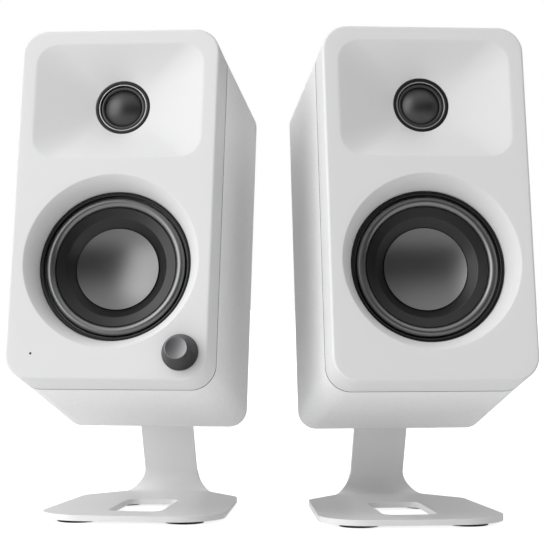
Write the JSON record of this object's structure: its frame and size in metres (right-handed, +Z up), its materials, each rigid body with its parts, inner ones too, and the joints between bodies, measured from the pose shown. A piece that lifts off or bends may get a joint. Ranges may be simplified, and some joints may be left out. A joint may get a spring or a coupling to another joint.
{
  "type": "desktop speakers",
  "caption": "Compact two-way desktop speakers, silver-white cabinets tilted back on bent-plate stands, with volume knob, rear sockets and bass ports.",
  "frame": {"origin": "bottom centre of the pair, on the desk under the feet", "axes": "+X to the right as seen from the front, +Y towards the back, +Z up; the front faces look along -Y"},
  "size_m": [0.2578, 0.2038, 0.2484],
  "materials": {
    "baffle_paint": "smooth satin silver-white",
    "basket_steel": "black stoved",
    "black_screws": "black oxide",
    "board_green": "solder mask",
    "cabinet_grain": "fine-grained matte silver-white",
    "cap_satin": "satin dark grey",
    "coil_copper": "enamelled copper",
    "cone_dark": "satin woven cone",
    "dome_silk": "coated silk",
    "ferrite": "sintered",
    "jack_metal": "nickel plated",
    "knob_dark": "dark satin",
    "lever_black": "moulded black",
    "lever_red": "moulded red",
    "light_pipe": "clear",
    "pad_rubber": "soft black",
    "panel_plastic": "fine-textured black",
    "plated_steel": "zinc plated",
    "ring_black": "satin black",
    "ring_silver": "bright turned",
    "socket_black": "moulded black",
    "spider_cloth": "resin-treated cloth",
    "stand_metal": "satin silver-white",
    "surround_rubber": "matte butyl"
  },
  "bodies": {
    "left_cabinet": {"left_amp_board": "board_green", "left_aux_jack": "socket_black", "left_cabinet_shell": "cabinet_grain", "left_case_screws": "black_screws", "left_dc_inlet": "socket_black", "left_encoder_body": "socket_black", "left_front_baffle": "baffle_paint", "left_led_pipe": "light_pipe", "left_rca_jacks": "jack_metal", "left_rear_panel": "panel_plastic", "left_stand": "stand_metal", "left_stand_feet": "pad_rubber", "left_stand_pad": "pad_rubber", "left_stand_screws": "black_screws", "left_terminal_block": "socket_black", "left_tweeter_faceplate": "ring_black", "left_tweeter_motor": "plated_steel", "left_tweeter_trim_ring": "ring_silver", "left_woofer_basket": "basket_steel", "left_woofer_magnet": "ferrite", "left_woofer_pole_pieces": "plated_steel", "left_woofer_spider": "spider_cloth", "left_woofer_surround": "surround_rubber", "left_woofer_trim_ring": "ring_black"},
    "right_cabinet": {"right_cabinet_shell": "cabinet_grain", "right_case_screws": "black_screws", "right_crossover_board": "board_green", "right_front_baffle": "baffle_paint", "right_rear_panel": "panel_plastic", "right_stand": "stand_metal", "right_stand_feet": "pad_rubber", "right_stand_pad": "pad_rubber", "right_stand_screws": "black_screws", "right_terminal_block": "socket_black", "right_tweeter_faceplate": "ring_black", "right_tweeter_motor": "plated_steel", "right_tweeter_trim_ring": "ring_silver", "right_woofer_basket": "basket_steel", "right_woofer_magnet": "ferrite", "right_woofer_pole_pieces": "plated_steel", "right_woofer_spider": "spider_cloth", "right_woofer_surround": "surround_rubber", "right_woofer_trim_ring": "ring_black"},
    "left_woofer_cone": {"left_woofer_cone": "cone_dark", "left_woofer_dust_cap": "cap_satin", "left_woofer_voice_coil": "coil_copper"},
    "left_tweeter_dome": {"left_tweeter_dome": "dome_silk", "left_tweeter_voice_coil": "coil_copper"},
    "left_volume_knob": {"left_volume_knob": "knob_dark", "left_encoder_shaft": "plated_steel"},
    "left_power_rocker": {"left_power_rocker": "lever_black"},
    "left_lever_red": {"left_terminal_lever_red": "lever_red"},
    "left_lever_black": {"left_terminal_lever_black": "lever_black"},
    "right_woofer_cone": {"right_woofer_cone": "cone_dark", "right_woofer_dust_cap": "cap_satin", "right_woofer_voice_coil": "coil_copper"},
    "right_tweeter_dome": {"right_tweeter_dome": "dome_silk", "right_tweeter_voice_coil": "coil_copper"},
    "right_lever_red": {"right_terminal_lever_red": "lever_red"},
    "right_lever_black": {"right_terminal_lever_black": "lever_black"}
  },
  "joints": [
    {"name": "right_spacing", "type": "slide", "parent": "left_cabinet", "child": "right_cabinet", "axis": [1, 0, 0], "range_m": [0, 0.3]},
    {"name": "left_woofer_stroke", "type": "slide", "parent": "left_cabinet", "child": "left_woofer_cone", "axis": [-0.1286, -0.9638, 0.2334], "range_m": [-0.003, 0.003], "stiffness_N_per_m": 1500, "deforming": ["left_woofer_surround", "left_woofer_spider"]},
    {"name": "left_tweeter_stroke", "type": "slide", "parent": "left_cabinet", "child": "left_tweeter_dome", "axis": [-0.1286, -0.9638, 0.2334], "range_m": [-0.0002, 0.0002], "stiffness_N_per_m": 3000},
    {"name": "left_lever_red_press", "type": "hinge", "parent": "left_cabinet", "child": "left_lever_red", "pos_m": [-0.09429, 0.06431, 0.07577], "axis": [0.9912, -0.1323, 0], "range_deg": [-12, 0], "stiffness_Nm_per_rad": 0.05},
    {"name": "left_lever_black_press", "type": "hinge", "parent": "left_cabinet", "child": "left_lever_black", "pos_m": [-0.08319, 0.06283, 0.07577], "axis": [0.9912, -0.1323, 0], "range_deg": [-12, 0], "stiffness_Nm_per_rad": 0.05},
    {"name": "right_woofer_stroke", "type": "slide", "parent": "right_cabinet", "child": "right_woofer_cone", "axis": [0.1101, -0.9661, 0.2334], "range_m": [-0.003, 0.003], "stiffness_N_per_m": 1500, "deforming": ["right_woofer_surround", "right_woofer_spider"]},
    {"name": "right_tweeter_stroke", "type": "slide", "parent": "right_cabinet", "child": "right_tweeter_dome", "axis": [0.1101, -0.9661, 0.2334], "range_m": [-0.0002, 0.0002], "stiffness_N_per_m": 3000},
    {"name": "right_lever_red_press", "type": "hinge", "parent": "right_cabinet", "child": "right_lever_red", "pos_m": [0.03013, 0.0402, 0.07577], "axis": [0.9936, 0.1132, 0], "range_deg": [-12, 0], "stiffness_Nm_per_rad": 0.05},
    {"name": "right_lever_black_press", "type": "hinge", "parent": "right_cabinet", "child": "right_lever_black", "pos_m": [0.04126, 0.04147, 0.07577], "axis": [0.9936, 0.1132, 0], "range_deg": [-12, 0], "stiffness_Nm_per_rad": 0.05},
    {"name": "volume_turn", "type": "hinge", "parent": "left_cabinet", "child": "left_volume_knob", "pos_m": [-0.04325, -0.08316, 0.08873], "axis": [-0.1286, -0.9638, 0.2334], "continuous": true},
    {"name": "power_rock", "type": "hinge", "parent": "left_cabinet", "child": "left_power_rocker", "pos_m": [-0.03351, 0.05408, 0.09741], "axis": [0.9912, -0.1323, 0], "range_deg": [-16, 0]}
  ]
}
